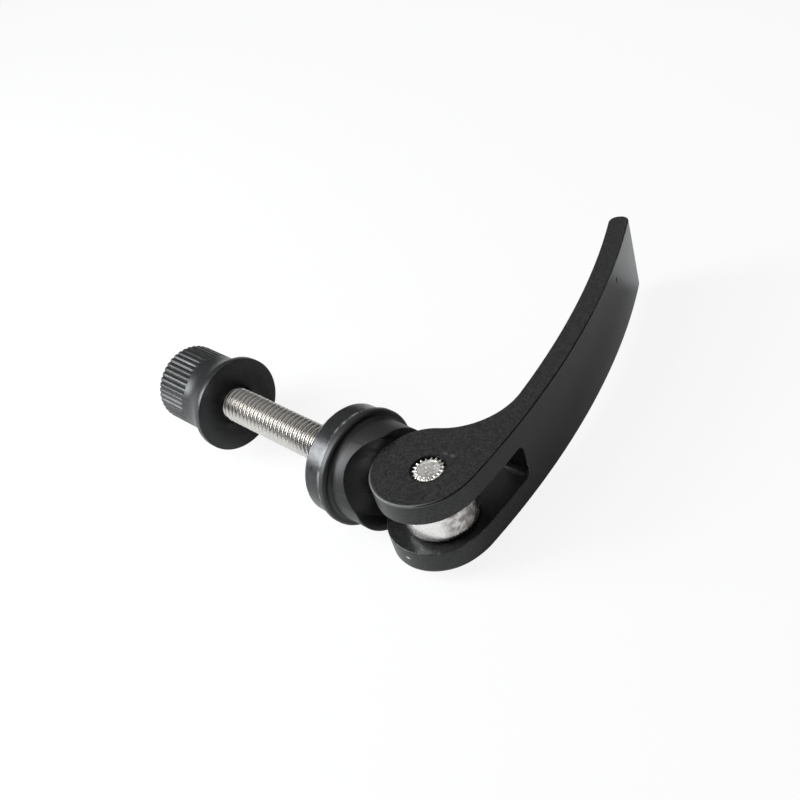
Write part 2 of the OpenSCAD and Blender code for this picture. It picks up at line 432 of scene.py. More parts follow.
# %% Worn edges
# The coat wears through first where the surface turns tightly. The mask is the stored edge value, kept only
# where a noise is high, so that the worn line comes and goes.
wear_tree, wear_in, wear_out = new_group(
    "edge_wear",
    [("Scale", 900.0), ("Amount", 0.5), ("Cover", 0.5)],
    [("Mask", "NodeSocketFloat")],
)
tight = wear_tree.nodes.new("ShaderNodeAttribute")
tight.attribute_name = "edge"
patches = add_noise(wear_tree, wear_in.outputs["Scale"], 3.0)
raised = add_math(wear_tree, "ADD", patches, wear_in.outputs["Cover"])
worn = product(wear_tree, add_range(wear_tree, raised, 0.9, 1.15), tight.outputs["Fac"])
mask = add_math(wear_tree, "MULTIPLY", worn, wear_in.outputs["Amount"], clamp=True)
wear_tree.links.new(mask, wear_out.inputs["Mask"])
print("group", wear_tree.name)

# %% Distance from an axis
# The square root of the sum of two squared coordinates: how far a point is from an axis.
def object_place(tree):
    """The three sockets of a point's own place, in metres."""
    place = tree.nodes.new("ShaderNodeTexCoord")
    parts = tree.nodes.new("ShaderNodeSeparateXYZ")
    tree.links.new(place.outputs["Object"], parts.inputs[0])
    return parts.outputs["X"], parts.outputs["Y"], parts.outputs["Z"]


def distance(tree, first, second):
    """A socket with the square root of first squared plus second squared."""
    squares = [add_math(tree, "MULTIPLY", side, side) for side in (first, second)]
    return add_math(tree, "SQRT", add_math(tree, "ADD", *squares))


# %% [markdown]
# ## Finishes
# Each finish is one Principled shader. Constants sit on its sockets, and only what changes over the surface
# is linked: grain in the roughness and normal, marks and dirt in the colour.

# %% Material helpers
def add_layer(material, mask, value, label="Base Color"):
    """Turns a colour or a number of the finish to another one where the mask is 1, over what fed it before."""
    tree = material.node_tree
    target = tree.nodes["Principled BSDF"].inputs[label]
    kind = "Float" if isinstance(value, float) else "Color"
    layer = tree.nodes.new("ShaderNodeMix")
    layer.data_type = {"Float": "FLOAT", "Color": "RGBA"}[kind]
    sockets = {s.identifier: s for s in [*layer.inputs, *layer.outputs]}
    sockets["B_" + kind].default_value = value if kind == "Float" else (*value, 1)
    tree.links.new(mask, sockets["Factor_Float"])
    if target.links:
        tree.links.new(target.links[0].from_socket, sockets["A_" + kind])
    else:
        sockets["A_" + kind].default_value = target.default_value
    tree.links.new(sockets["Result_" + kind], target)


def add_group(tree, group, values):
    """A node that runs a group, with its inputs set to values in their order."""
    node = tree.nodes.new("ShaderNodeGroup")
    node.node_tree = group
    for socket, value in zip(node.inputs, values):
        socket.default_value = value
    return node.outputs


def new_finish(name, dark, light, metallic, gloss, grain, marks, mark_colour, wear, wear_colour):
    """A Principled material whose colour runs from dark to light with the grain (scale, roughness, spread,
    bump, uneven), with marks (scale, amount) and worn edges (scale, amount, cover). gloss is how strongly a
    bare surface mirrors: 0.5 is plain glass."""
    material = bpy.data.materials.new(name)
    material.use_nodes = True
    tree = material.node_tree
    shader = tree.nodes["Principled BSDF"]
    shader.inputs["Base Color"].default_value = (*dark, 1)
    shader.inputs["Metallic"].default_value = metallic
    shader.inputs["Specular IOR Level"].default_value = gloss
    fine = add_group(tree, grain_tree, grain)
    tree.links.new(fine["Roughness"], shader.inputs["Roughness"])
    tree.links.new(fine["Normal"], shader.inputs["Normal"])
    add_layer(material, fine["Tone"], light)
    add_layer(material, add_group(tree, mark_tree, marks)["Mask"], mark_colour)
    add_layer(material, add_group(tree, wear_tree, wear)["Mask"], wear_colour)
    return material


# %% The six finishes
BARE = (0.33, 0.33, 0.32)
PLATING_MARK = (0.05, 0.05, 0.055)
black_alloy = new_finish(
    "black_anodised", dark=(0.000, 0.000, 0.000), light=(0.020, 0.0205, 0.020), metallic=0.0, gloss=0.42,
    grain=(3600, 0.38, 0.34, 1.1, 0.04), marks=(500, 0.25), mark_colour=(0.03, 0.03, 0.03),
    wear=(900, 0.3, 0.40), wear_colour=BARE)
black_plating = new_finish(
    "black_plating", dark=(0.002, 0.0022, 0.0025), light=(0.006, 0.0065, 0.007), metallic=0.0, gloss=0.42,
    grain=(2400, 0.30, 0.20, 0.3, 0.3), marks=(700, 0.5), mark_colour=PLATING_MARK,
    wear=(1200, 0.9, 0.56), wear_colour=BARE)
black_plastic = new_finish(
    "moulded_black_plastic", dark=(0.003, 0.003, 0.003), light=(0.008, 0.008, 0.008), metallic=0.0,
    gloss=0.48, grain=(4500, 0.45, 0.15, 0.5, 0.05), marks=(400, 0.15), mark_colour=(0.02, 0.02, 0.02),
    wear=(900, 0.2, 0.3), wear_colour=(0.05, 0.05, 0.05))
nut_plating = new_finish(
    "nut_black_plating", dark=(0.002, 0.0022, 0.0025), light=(0.009, 0.0095, 0.010), metallic=0.0, gloss=0.4,
    grain=(2400, 0.36, 0.16, 0.3, 0.10), marks=(700, 0.35), mark_colour=PLATING_MARK,
    wear=(1200, 0.3, 0.4), wear_colour=(0.15, 0.15, 0.15))
bolt_steel = new_finish(
    "bolt_zinc_plating", dark=(0.60, 0.585, 0.56), light=(0.68, 0.66, 0.63), metallic=1.0, gloss=0.5,
    grain=(2500, 0.26, 0.10, 0.04, 0.05), marks=(600, 0.4), mark_colour=(0.36, 0.34, 0.32),
    wear=(900, 0.4, 0.5), wear_colour=(0.68, 0.66, 0.63))
pin_steel = new_finish(
    "pin_steel", dark=(0.60, 0.58, 0.55), light=(0.94, 0.92, 0.89), metallic=1.0, gloss=0.5,
    grain=(2200, 0.34, 0.36, 1.3, 0.1), marks=(900, 0.6), mark_colour=(0.28, 0.26, 0.24),
    wear=(1500, 0.7, 0.6), wear_colour=(0.76, 0.74, 0.71))
print("finishes:", ", ".join(m.name for m in bpy.data.materials))

# %% [markdown]
# ## The eye bolt
# The real bolt is forged: a round flat eye at one end, and an M6 thread rolled on the rest. The thread's
# radius at a point depends on where that point lies between two crests, and the crests climb by one pitch
# in each turn. That phase is one formula on a grid, so the whole helix is a single surface.

# %% Thread profile
# Widths are shares of the pitch. The crest's place and angle are those of the photograph's thread.
PITCH = 1.0 * MM
CREST_X = -25.466 * MM
CREST_ANGLE = math.radians(121.07)
THREAD_DEPTH = 0.613 * PITCH
CREST_HALF = 0.0625
ROOT_HALF = 0.0835
THREAD_TO = 7.0 * MM
RUNOUT = 2.0 * MM
END_BEVEL = 0.8 * MM
STEPS_PER_PITCH = 14


def thread_depth(x, r, angle):
    """How deep the thread is cut at x and angle: 0 over the crest, full in the root, straight between.
    The phase is the distance along X from the nearest crest, in pitches, less one pitch for each turn."""
    phase = (x - CREST_X) / PITCH - (angle - CREST_ANGLE) / (2 * np.pi)
    off = np.abs(phase - np.round(phase))
    flank = np.clip((off - CREST_HALF) / (0.5 - CREST_HALF - ROOT_HALF), 0, 1)
    fade = np.clip((THREAD_TO - x) / RUNOUT, 0, 1)
    return np.minimum(THREAD_DEPTH * flank * fade, r * 0.999)


# %% Grime and painted shade in the thread
# Oil and dust gather in the roots, and their shade is painted in too, so the colour there is dark: full at
# the root and gone near the crest.
GRIME_AND_SHADE_FULL = THREAD_R - 0.6 * MM
GRIME_AND_SHADE_GONE = THREAD_R - 0.25 * MM
tree = bolt_steel.node_tree
x, y, z = object_place(tree)
deep_grime_and_shade = add_range(tree, distance(tree, y, z), GRIME_AND_SHADE_FULL, GRIME_AND_SHADE_GONE, 1.0, 0.0)
on_thread = add_range(tree, x, THREAD_TO - 0.5 * MM, THREAD_TO, 1.0, 0.0)
add_layer(bolt_steel, product(tree, deep_grime_and_shade, on_thread), (0.05, 0.04, 0.032))
print("grime up to radius", round(GRIME_AND_SHADE_GONE / MM, 2), "mm")

# %% The eye's face
# The eye is ground brighter than the thread, and speckled. Where it faces the handle, deep in the slot,
# a mottled, darker stretch is painted shade.
SLOT_SHADE_FROM = PIVOT_X + 3.9 * MM
SLOT_SHADE_FULL = PIVOT_X + 5.2 * MM
ground = add_range(tree, x, THREAD_TO + 0.5 * MM, THREAD_TO + 1.5 * MM)
speckle = add_range(tree, add_noise(tree, 3600, 2.0), 0.38, 0.6, 0.6, 1.0)
add_layer(bolt_steel, product(tree, ground, speckle), (0.88, 0.87, 0.85))
# Painted shade: a mottled darker colour on the side of the eye towards the handle.
slot_shade = add_range(tree, x, SLOT_SHADE_FROM, SLOT_SHADE_FULL)
mottle = add_range(tree, add_noise(tree, 900, 3.0), 0.35, 0.6, 0.3, 0.9)
add_layer(bolt_steel, product(tree, slot_shade, mottle), (0.20, 0.175, 0.16))
print("the eye is stained from x", round(SLOT_SHADE_FROM / MM, 2), "mm")

# %% Make the bolt
bolt_end = bolt_low[0]
thread_rows = int(round((THREAD_TO - bolt_end - END_BEVEL) / PITCH * STEPS_PER_PITCH))
shank = path(
    [[bolt_end, 0]],
    [[bolt_end, THREAD_R - THREAD_DEPTH]],
    line((bolt_end, THREAD_R - THREAD_DEPTH), (bolt_end + END_BEVEL, THREAD_R), 8),
    line((bolt_end + END_BEVEL, THREAD_R), (THREAD_TO, THREAD_R), thread_rows),
    [[PIVOT_X - PIN_R, THREAD_R]],
    [[PIVOT_X - PIN_R, 0]],
)


def bolt_depth(x, r, angle):
    """The thread's cut, measured from its full radius, so that the bevelled end keeps its cone."""
    room = r - (THREAD_R - thread_depth(x, np.full_like(x + angle, THREAD_R), angle))
    return np.clip(room, 0, None)


bolt_angles = around(64)
bolt = mesh_piece("bolt", turned_about_x(shank, bolt_angles, bolt_depth),
                  grid_faces(len(shank), len(bolt_angles), closed=False), sharp_angle=60)
print("thread:", thread_rows, "rows of", len(bolt_angles), "points")

# %% Make the eye and its bore
EYE_EDGE = 1.3 * MM
PIN_GAP = 0.05 * MM
eye_profile = path(
    [[0, -HALF_EYE]],
    arc((EYE_R - EYE_EDGE, -HALF_EYE + EYE_EDGE), EYE_EDGE, -90, 0, 13),
    arc((EYE_R - EYE_EDGE, HALF_EYE - EYE_EDGE), EYE_EDGE, 0, 90, 13),
    [[0, HALF_EYE]],
)
eye_angles = around(128)
r, z = eye_profile[:, 0][:, None], eye_profile[:, 1][:, None]
eye_grid = np.stack([PIVOT_X + r * np.cos(eye_angles), r * np.sin(eye_angles), z + 0 * eye_angles], axis=-1)
eye = mesh_piece("eye", eye_grid, grid_faces(len(eye_profile), len(eye_angles), closed=False))
combine(bolt, "UNION", eye)
bore = prism("bore", circle((PIVOT_X, 0), PIN_R + PIN_GAP, 120), -2 * HALF_EYE, 2 * HALF_EYE)
combine(bolt, "DIFFERENCE", bore)
finish_piece(bolt, "bolt", "eye_bolt", bolt_steel)

# %% [markdown]
# ## The pivot pin
# Splines rolled on the pin's two ends bite into the lever's ears. Seen from outside they leave a bright disc
# with beads round it. The radius follows a cosine round the pin near the ends and is plain in the middle.
# Each end is dished by the press that staked it, and pitted all over, so no two spots mirror the same light.

# %% Pin profile
SPLINES = 18
SPLINE_DEPTH = 0.26 * MM
SPLINE_LEN = 2.8 * MM
SPLINE_FADE = 0.4 * MM
DISH = 0.16 * MM
PIN_EDGE = 0.25 * MM
BEAD_ROOM = 0.65 * MM
BEAD_FADE = 0.3 * MM
NOTCH = 0.4 * MM
FACE_FADE = 0.1 * MM
half_pin = pin_high[2]
dish_r = np.linspace(0, PIN_R - PIN_EDGE, 26)
dish_z = half_pin - DISH * np.clip(1 - (dish_r / (PIN_R - BEAD_ROOM)) ** 2, 0, None)
upper = path(
    np.column_stack([dish_r, dish_z]),
    arc((PIN_R - PIN_EDGE, half_pin - PIN_EDGE), PIN_EDGE, 90, 0, 6),
    line((PIN_R, half_pin - PIN_EDGE), (PIN_R, half_pin - SPLINE_LEN), 6),
)
lower = upper[::-1] * np.array([1, -1])
pin_profile = path(upper, lower)
pin_angles = around(SPLINES * 10)
print("pin profile:", len(pin_profile), "points,", SPLINES, "splines")

# %% Splines and beads
# Between two splines the cosine is at its lowest. There the radius loses the spline's depth, and the end face
# sinks by a notch, so that beads stand round the rim.
r, z = pin_profile[:, 0][:, None], pin_profile[:, 1][:, None]
near_end = np.clip((np.abs(z) - (half_pin - SPLINE_LEN)) / SPLINE_FADE, 0, 1)
near_rim = np.clip((r - (PIN_R - BEAD_ROOM)) / BEAD_FADE, 0, 1)
gap = (0.5 - 0.5 * np.cos(SPLINES * pin_angles)) ** 1.5
on_face = np.clip((np.abs(z) - (half_pin - 1.5 * DISH - PIN_EDGE)) / FACE_FADE, 0, 1)
sunk = on_face * near_rim * gap * NOTCH
r = r - SPLINE_DEPTH * near_end * near_rim * gap
pin_x, pin_y = r * np.cos(pin_angles), r * np.sin(pin_angles)
print("deepest notch", round(float(sunk.max()) / MM, 2), "mm")

# %% Pits, and the finished pin
PITS = 90
PIT_DEPTH = 0.06 * MM
PIT_WIDTHS_MM = (0.10, 0.28)
UPPER_SEED, LOWER_SEED = 7, 8


def pits(x, y, seed):
    """Depth of many small round pits: each is a bell curve of its distance from its own centre."""
    rng = np.random.default_rng(seed)
    depth = np.zeros_like(x)
    for _ in range(PITS):
        reach, turn = PIN_R * math.sqrt(rng.random()), 2 * math.pi * rng.random()
        width = rng.uniform(*PIT_WIDTHS_MM) * MM
        away = (x - reach * math.cos(turn)) ** 2 + (y - reach * math.sin(turn)) ** 2
        depth += PIT_DEPTH * rng.uniform(0.4, 1.0) * np.exp(-away / width ** 2)
    return depth


above, below = pits(pin_x, pin_y, UPPER_SEED), pits(pin_x, pin_y, LOWER_SEED)
sunk = sunk + on_face * np.where(z > 0, above, below)
pin_grid = np.stack([PIVOT_X + pin_x, pin_y, z - np.sign(z) * sunk], axis=-1)
pin = mesh_piece("pin", pin_grid, grid_faces(len(pin_profile), len(pin_angles), closed=False))
finish_piece(pin, "lever", "pivot_pin", pin_steel)

# %% [markdown]
# ## The lever
# Seen along the pin the lever is a chain of arcs: the cam, the flatter heel, the long back, the tip's two
# corners, the inner side about the same centre as the back, and a hollow throat that runs into the cam. The
# outline is drawn out across the width, cut by the slot and the pin's hole, and then its edges are rounded.

# %% Lever outline
CAM_OFFSET = 1.1 * MM
HEEL_R = 11.5 * MM
HEEL_TURN = -18
BACK_TURN = 2.9
BACK_R = 146 * MM
HANDLE_LEN = 64.4 * MM
HANDLE_T = 3.4 * MM
THROAT_R = 10.7 * MM
TIP_CORNER = 1.5 * MM

cam_at = np.array([PIVOT_X - CAM_OFFSET, 0.0])


def polar(radius, degrees):
    """The point at that radius and angle."""
    return radius * np.array([np.cos(np.radians(degrees)), np.sin(np.radians(degrees))])


def angle_of(vector):
    """The direction of a vector in degrees."""
    return math.degrees(math.atan2(vector[1], vector[0]))


def meeting_point(a, ra, b, rb):
    """The point ra from a and rb from b, on the left of the way from a to b, by the cosine rule."""
    gap = b - a
    d = np.linalg.norm(gap)
    along = (d * d + ra * ra - rb * rb) / (2 * d)
    off = math.sqrt(ra * ra - along * along)
    u = gap / d
    return a + along * u + off * np.array([-u[1], u[0]])


heel_at = cam_at - polar(HEEL_R - CAM_R, HEEL_TURN)
back_at = heel_at - polar(BACK_R - HEEL_R, BACK_TURN)
palm_r = BACK_R - HANDLE_T
tip_angle = BACK_TURN + math.degrees(HANDLE_LEN / BACK_R)
throat_at = meeting_point(back_at, palm_r - THROAT_R, cam_at, CAM_R + THROAT_R)
throat_from = angle_of(throat_at - back_at)
throat_to = angle_of(cam_at - throat_at) % 360
corner_inset = polar(TIP_CORNER, tip_angle + 90)
outer_corner = back_at + polar(BACK_R, tip_angle) - polar(TIP_CORNER, tip_angle) - corner_inset
inner_corner = back_at + polar(palm_r, tip_angle) + polar(TIP_CORNER, tip_angle) - corner_inset
corner_turn = math.degrees(TIP_CORNER / BACK_R)
outline = path(
    arc(back_at, BACK_R, BACK_TURN, tip_angle - corner_turn, 60),
    arc(outer_corner, TIP_CORNER, tip_angle, tip_angle + 90, 8),
    arc(inner_corner, TIP_CORNER, tip_angle + 90, tip_angle + 180, 8),
    arc(back_at, palm_r, tip_angle - corner_turn, throat_from, 60),
    arc(throat_at, THROAT_R, throat_from, throat_to - 360, 40),
    arc(cam_at, CAM_R, throat_to - 180, 360 + HEEL_TURN, 90),
    arc(heel_at, HEEL_R, HEEL_TURN, BACK_TURN, 16),
)[:-1]
print("lever outline:", len(outline), "points, reaches to", np.round(outline.max(0) / MM, 2), "mm")

# %% [markdown]
# ## Marks on the lever
# The back is smoother than the sides, with a dull scratch near the tip. A light line along the near edge of
# the cam is a painted highlight, two scuffs sit beside the pin, and a bright spot on the far ear is a nick and
# a painted highlight. From the heel upwards the upper edge of the back has a thin dark line of painted shade,
# where the coat mirrors nothing, and a ring of painted shade sits round the pin. Each mark is a mask made of
# soft steps in the coordinates, laid over the finish.

# %% Mask helper
def add_spot(tree, first, second, centre, half):
    """A soft mask inside an ellipse, with centre and half widths in millimetres. It falls from 1 to 0 where
    the root of the sum of the squares of each distance over its half width runs from a half to 1."""
    scaled = []
    for side, at, reach in zip((first, second), centre, half):
        off = add_math(tree, "SUBTRACT", side, at * MM)
        scaled.append(add_math(tree, "DIVIDE", off, reach * MM))
    return add_range(tree, distance(tree, *scaled), 0.5, 1.0, 1.0, 0.0)


# %% The smooth back and its scratch
BACK_ROUGHNESS = 0.14
SCRATCH_ROUGHNESS = 0.8
tree = black_alloy.node_tree
x, y, z = object_place(tree)
from_back_x = add_math(tree, "SUBTRACT", x, back_at[0])
from_back_y = add_math(tree, "SUBTRACT", y, back_at[1])
from_back = distance(tree, from_back_x, from_back_y)
on_back = add_range(tree, from_back, BACK_R - 0.3 * MM, BACK_R - 0.1 * MM)
add_layer(black_alloy, on_back, BACK_ROUGHNESS, "Roughness")
scratch = product(tree, add_spot(tree, y, z, (50.2, 3.9), (0.35, 0.75)), on_back)
add_layer(black_alloy, scratch, SCRATCH_ROUGHNESS, "Roughness")
print("roughness of the back", BACK_ROUGHNESS, "and of its scratch", SCRATCH_ROUGHNESS)

# %% The painted highlight along the cam's edge
# A painted highlight: a light line on the rounded edge of the cam, on both faces, away from the handle.
CAM_EDGE_HIGHLIGHT = (0.16, 0.16, 0.155)
from_cam = distance(tree, add_math(tree, "SUBTRACT", x, cam_at[0]), y)
at_rim = add_range(tree, from_cam, CAM_R - 0.4 * MM, CAM_R - 0.2 * MM)
off_middle = add_math(tree, "ABSOLUTE", z)
near_faces = add_range(tree, off_middle, HALF_LEVER - 0.4 * MM, HALF_LEVER - 0.2 * MM)
off_handle = add_range(tree, y, -6.5 * MM, -2.5 * MM, 1.0, 0.0)
add_layer(black_alloy, product(tree, at_rim, near_faces, off_handle, 0.6), CAM_EDGE_HIGHLIGHT)
print("worn line on the cam, radius", round(CAM_R / MM, 2), "mm")

# %% Painted shade: the dark line on the back's edge and the dark ring round the pin
# Painted shade: near black with Metallic 1, so that these places mirror nothing.
PAINTED_SHADE_BLACK = (0.003, 0.003, 0.003)
rounding = tree.nodes.new("ShaderNodeAttribute")
rounding.attribute_name = "edge"
at_top = add_range(tree, z, HALF_LEVER - 0.5 * MM, HALF_LEVER - 0.3 * MM)
at_back = add_range(tree, from_back, BACK_R - 4.3 * MM, BACK_R - 3.0 * MM)
fading = add_range(tree, y, 34 * MM, 48 * MM, 0.75, 0.1)
painted_shade_mask = product(tree, rounding.outputs["Fac"], at_top, at_back, fading)
from_pin_x = add_math(tree, "SUBTRACT", x, PIVOT_X)
from_pin = distance(tree, from_pin_x, y)
shade_by_pin = add_range(tree, from_pin, PIN_R + 0.25 * MM, PIN_R + 0.4 * MM, 0.8, 0.0)
painted_shade_mask = add_math(tree, "MAXIMUM", painted_shade_mask, shade_by_pin)
add_layer(black_alloy, painted_shade_mask, PAINTED_SHADE_BLACK)
add_layer(black_alloy, painted_shade_mask, 1.0, "Metallic")
print("grime round the pin, out to radius", round((PIN_R + 0.4 * MM) / MM, 2), "mm")

# %% Scuffs, and a nick with a painted highlight
# Each scuff is (centre, half widths) from the pin. The nick is placed in x and z. All are in millimetres.
SCUFFS = [((0.24, 3.51), (0.65, 0.3)), ((1.5, 3.65), (0.6, 0.4))]
SCUFFED = (0.05, 0.05, 0.05)
NICK_AND_HIGHLIGHT = (0.4, 0.4, 0.4)
on_top = add_range(tree, z, HALF_LEVER - 0.2 * MM, HALF_LEVER - 0.1 * MM)
for centre, half in SCUFFS:
    add_layer(black_alloy, product(tree, add_spot(tree, from_pin_x, y, centre, half), on_top), SCUFFED)
# The nick's bright spot is partly a painted highlight.
nick_and_highlight = add_spot(tree, x, z, (19.1, -4.65), (0.55, 0.22))
on_cam_side = add_range(tree, y, -7.6 * MM, -7.2 * MM, 1.0, 0.0)
add_layer(black_alloy, product(tree, nick_and_highlight, on_cam_side), NICK_AND_HIGHLIGHT)
print(len(SCUFFS), "scuffs and a nick")

# %% Make the lever
SLOT_HALF = HALF_EYE + 0.05 * MM
SLOT_DEPTH = 12.8 * MM
SLOT_CORNER = 1.2 * MM
PIN_HOLE_GAP = 0.06 * MM
LEVER_EDGE = 0.2 * MM
SLOT_REACH = CAM_R + 4 * MM

lever = prism("lever_body", outline, -HALF_LEVER, HALF_LEVER)
slot_outline = path(
    [[-SLOT_REACH, -SLOT_HALF]],
    arc((SLOT_DEPTH - SLOT_CORNER, -SLOT_HALF + SLOT_CORNER), SLOT_CORNER, -90, 0, 8),
    arc((SLOT_DEPTH - SLOT_CORNER, SLOT_HALF - SLOT_CORNER), SLOT_CORNER, 0, 90, 8),
    [[-SLOT_REACH, SLOT_HALF]],
)
slot_cut = prism("slot_cut", slot_outline, -2 * SLOT_REACH, 4 * SLOT_REACH)
# The slot's outline lies in Y and Z, and is drawn out along X.
outline_to_yz = Matrix(((0, 0, 1, 0), (1, 0, 0, 0), (0, 1, 0, 0), (0, 0, 0, 1)))
slot_cut.data.transform(outline_to_yz)
combine(lever, "DIFFERENCE", slot_cut)
hole = prism("hole_cut", circle((PIVOT_X, 0), PIN_R + PIN_HOLE_GAP, 72), -2 * HALF_LEVER, 2 * HALF_LEVER)
combine(lever, "DIFFERENCE", hole)
merge_close(lever)
round_edges(lever, LEVER_EDGE)
finish_piece(lever, "lever", "lever", black_alloy)

# %% [markdown]
# ## The cup washer
# A cup pressed from sheet: a flat floor with a hole for the bolt, and a wall that holds the saddle. Its whole
# section is one closed profile, turned about the bolt, with the edge of the floor rolled round. Where the
# wall meets the saddle's flange, a light, broken line is rubbed plating and a painted highlight of the rim.

# %% Cup profile
CUP_R = cup_high[1]
CUP_LEN = cup_high[0]
CUP_WALL = 1.0 * MM
CUP_FLOOR = 1.2 * MM
CUP_EDGE = 0.5 * MM
CUP_RIM = 0.3 * MM
INNER_EDGE = 0.12 * MM
cup_profile = path(
    arc((INNER_EDGE, BORE_R + INNER_EDGE), INNER_EDGE, 270, 180, 4),
    arc((CUP_EDGE, CUP_R - CUP_EDGE), CUP_EDGE, 180, 90, 9),
    line((CUP_LEN - CUP_RIM, CUP_R), (CUP_LEN, CUP_R - CUP_RIM), 4),
    arc((CUP_LEN - INNER_EDGE, CUP_R - CUP_WALL + INNER_EDGE), INNER_EDGE, 0, -90, 4),
    [[CUP_FLOOR, CUP_R - CUP_WALL]],
    [[CUP_FLOOR, BORE_R]],
)
print("cup radius", round(CUP_R / MM, 2), "mm, length", round(CUP_LEN / MM, 2), "mm")

# %% Rubbed plating with a painted highlight, and the finished cup
RUBBED_AND_HIGHLIGHT = (0.22, 0.22, 0.225)
tree = black_plating.node_tree
x, y, z = object_place(tree)
# A light, broken line by the flange: rubbed plating, and a painted highlight of the rim.
near_lip = add_range(tree, x, CUP_LEN - 1.0 * MM, CUP_LEN - 0.75 * MM)
outside = add_range(tree, distance(tree, y, z), CUP_R - 0.5 * MM, CUP_R - 0.3 * MM)
chips = add_range(tree, add_noise(tree, 700, 2.0), 0.4, 0.62, 0.15, 0.9)
add_layer(black_plating, product(tree, near_lip, outside, chips), RUBBED_AND_HIGHLIGHT)
cup_angles = around(144)
cup = mesh_piece("cup", turned_about_x(cup_profile, cup_angles),
                 grid_faces(len(cup_profile), len(cup_angles), closed=True))
finish_piece(cup, "cup", "cup_washer", black_plating)

# %% [markdown]
# ## The saddle
# The plastic saddle plugs into the cup, and a flange covers the cup's rim. A groove across its boss takes the
# round ends of the lever. In the photograph the groove lies turned from the pin, as a loose saddle does.

# %% Saddle profile
FLANGE_R = saddle_high[1]
FLANGE_T = 1.25 * MM
LEDGE = 1.2 * MM
COVE = 0.5 * MM
PLUG_GAP = 0.08 * MM
FLANGE_EDGE = 0.5 * MM
FLANGE_BACK = 0.15 * MM
boss_front = saddle_high[0]
boss_r = FLANGE_R - LEDGE
plug_r = CUP_R - CUP_WALL - PLUG_GAP
flange_top = CUP_LEN + FLANGE_T
saddle_profile = path(
    [[saddle_low[0], BORE_R]],
    [[saddle_low[0], plug_r]],
    [[CUP_LEN, plug_r]],
    arc((CUP_LEN + FLANGE_BACK, FLANGE_R - FLANGE_BACK), FLANGE_BACK, 180, 90, 4),
    arc((flange_top - FLANGE_EDGE, FLANGE_R - FLANGE_EDGE), FLANGE_EDGE, 90, 0, 9),
    arc((flange_top + COVE, boss_r + COVE), COVE, 180, 270, 6),
    [[boss_front, boss_r]],
    [[boss_front, BORE_R]],
)
print("flange radius", round(FLANGE_R / MM, 2), "mm, boss radius", round(boss_r / MM, 2), "mm")

# %% Make the saddle and cut its groove
GROOVE_DEPTH = 2.6 * MM
GROOVE_GAP = 0.15 * MM
GROOVE_TURN = math.radians(42)
MOULD_EDGE = 0.12 * MM
saddle_angles = around(120)
saddle = mesh_piece("saddle_body", turned_about_x(saddle_profile, saddle_angles),
                    grid_faces(len(saddle_profile), len(saddle_angles), closed=True))
groove_r = CAM_R + GROOVE_GAP
groove = prism("groove_cut", circle((boss_front - GROOVE_DEPTH + groove_r, 0), groove_r, 144),
               -2 * FLANGE_R, 2 * FLANGE_R)
groove.data.transform(Matrix.Rotation(GROOVE_TURN, 4, "X"))
combine(saddle, "DIFFERENCE", groove)
merge_close(saddle)
round_edges(saddle, MOULD_EDGE, segments=2, angle=50, flat_faces=False)
finish_piece(saddle, "saddle", "saddle", black_plastic)

# %% [markdown]
# ## The nut
# A long round nut with a straight knurl for the fingers and a flange that spreads the load. One closed
# profile is turned about the bolt, and the knurl is a depth that depends on the angle, kept to its own
# stretch of the length and to the outside.

# %% Nut profile
NECK_R = 6.7 * MM
KNURL_LEN = 7.3 * MM
KNURL_END = 0.25 * MM
NUT_EDGE = 0.7 * MM
RIM_R = nut_high[1]
RIM_T = 1.1 * MM
FLARE_LEN = 4.6 * MM
RIM_EDGE = 0.15 * MM
END_BORE_BEVEL = 0.5 * MM
FACE_BORE_BEVEL = 0.3 * MM
nut_end, nut_face = nut_low[0], nut_high[0]
flare_from = nut_face - RIM_T - FLARE_LEN
flare_rise = RIM_R - NECK_R
flare_r = (FLARE_LEN ** 2 + flare_rise ** 2) / (2 * flare_rise)
flare_turn = math.degrees(math.asin(FLARE_LEN / flare_r))
nut_profile = path(
    [[nut_end + END_BORE_BEVEL, BORE_R]],
    [[nut_end, BORE_R + END_BORE_BEVEL]],
    arc((nut_end + NUT_EDGE, NECK_R - NUT_EDGE), NUT_EDGE, 180, 90, 10),
    line((nut_end + NUT_EDGE, NECK_R), (nut_end + KNURL_LEN, NECK_R), 10),
    line((nut_end + KNURL_LEN, NECK_R), (nut_end + KNURL_LEN + KNURL_END, NECK_R), 4),
    arc((flare_from, NECK_R + flare_r), flare_r, 270, 270 + flare_turn, 16),
    arc((nut_face - RIM_EDGE, RIM_R - RIM_EDGE), RIM_EDGE, 90, 0, 5),
    [[nut_face, BORE_R + FACE_BORE_BEVEL]],
    [[nut_face - FACE_BORE_BEVEL, BORE_R]],
)
print("the flare is an arc of radius", round(flare_r / MM, 2), "mm")

# %% The knurl, and the finished nut
KNURLS = 42
KNURL_DEPTH = 0.22 * MM
GROOVE_SHARE = 0.62
GROOVE_POWER = 0.9


def knurl_depth(x, r, angle):
    """Depth of the knurl. Over each groove a triangle wave falls from the middle to nothing at GROOVE_SHARE
    of the half width. It is kept to the outside, and to the knurl's length."""
    wave = np.abs(((angle * KNURLS / (2 * np.pi)) % 1) - 0.5) * 2
    groove_shape = np.clip(1 - wave / GROOVE_SHARE, 0, 1) ** GROOVE_POWER
    outside = np.clip((r - (NECK_R - 0.75 * NUT_EDGE)) / (0.3 * MM), 0, 1)
    along = np.clip((nut_end + KNURL_LEN + 0.1 * MM - x) / (0.15 * MM), 0, 1)
    return KNURL_DEPTH * groove_shape * outside * along


nut_angles = around(KNURLS * 10)
nut = mesh_piece("knurled_nut", turned_about_x(nut_profile, nut_angles, knurl_depth),
                 grid_faces(len(nut_profile), len(nut_angles), closed=True), sharp_angle=50)
finish_piece(nut, "nut", "nut", nut_plating)

